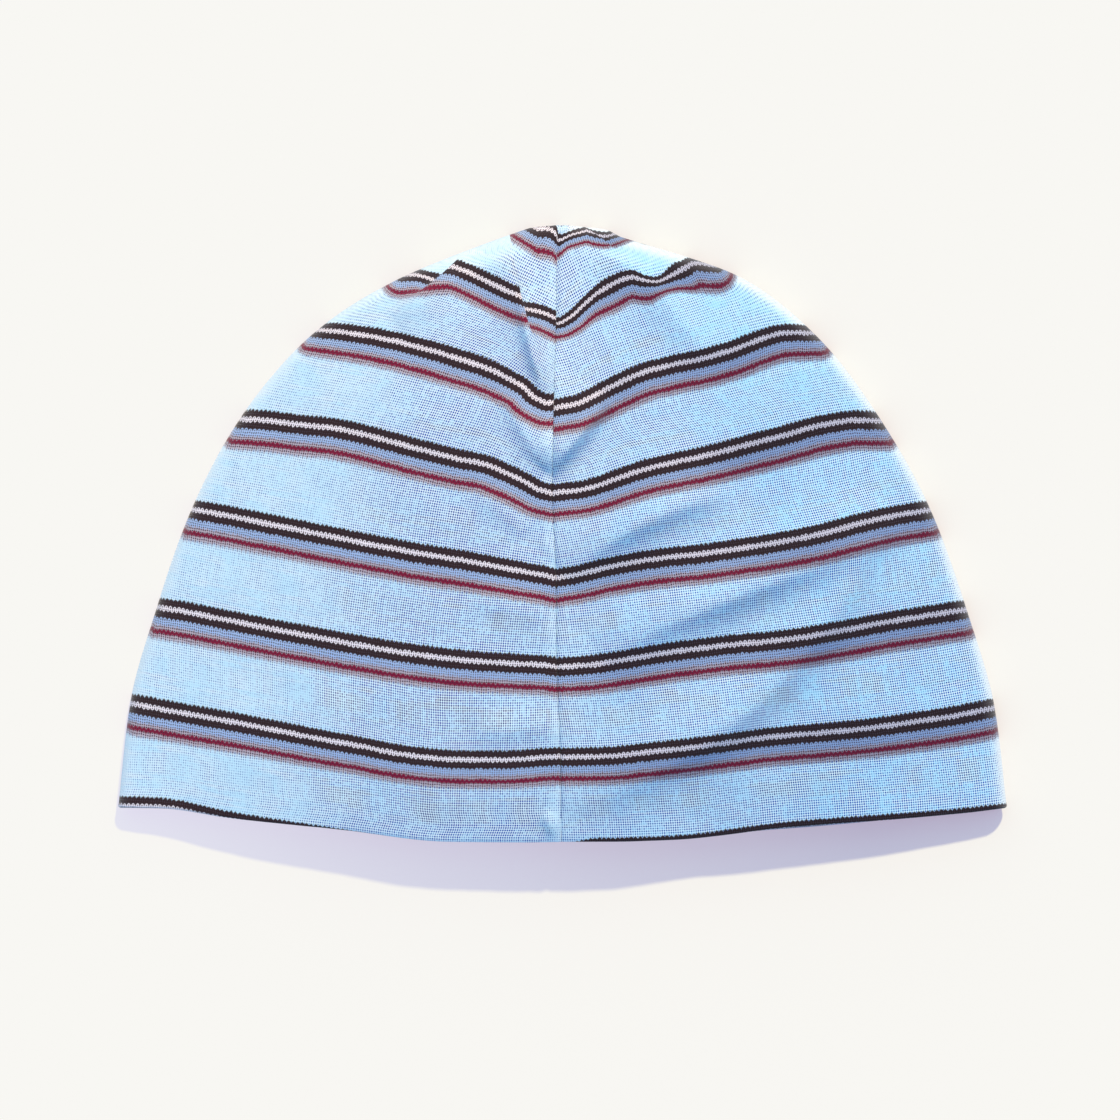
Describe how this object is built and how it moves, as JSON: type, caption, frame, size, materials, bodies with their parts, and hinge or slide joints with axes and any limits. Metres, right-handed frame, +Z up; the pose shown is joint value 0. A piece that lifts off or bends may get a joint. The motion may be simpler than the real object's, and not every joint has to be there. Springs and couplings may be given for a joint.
{
  "type": "striped knitted beanie",
  "caption": "Close-fitting knitted beanie with horizontal stripes, laid flat on its back, its opening along one side and its wall hollow for a head.",
  "frame": {"origin": "on the surface that the hat lies on, under the middle of its bounding box", "axes": "+Z up from the back wall to the front wall, +Y from the opening to the crown, +X to the right of the front"},
  "size_m": [0.26, 0.1805, 0.0263],
  "materials": {
    "left_panel_knit": "fine light blue jersey, striped dark brown, white, mid blue and burgundy",
    "right_panel_knit": "fine light blue jersey, striped dark brown, white, mid blue and burgundy",
    "seam_allowance_knit": "the same jersey, turned under at the seam"
  },
  "bodies": {
    "root": {"left_panel": "left_panel_knit", "right_panel": "right_panel_knit", "front_seam_allowance": "seam_allowance_knit", "back_seam_allowance": "seam_allowance_knit"}
  },
  "joints": []
}
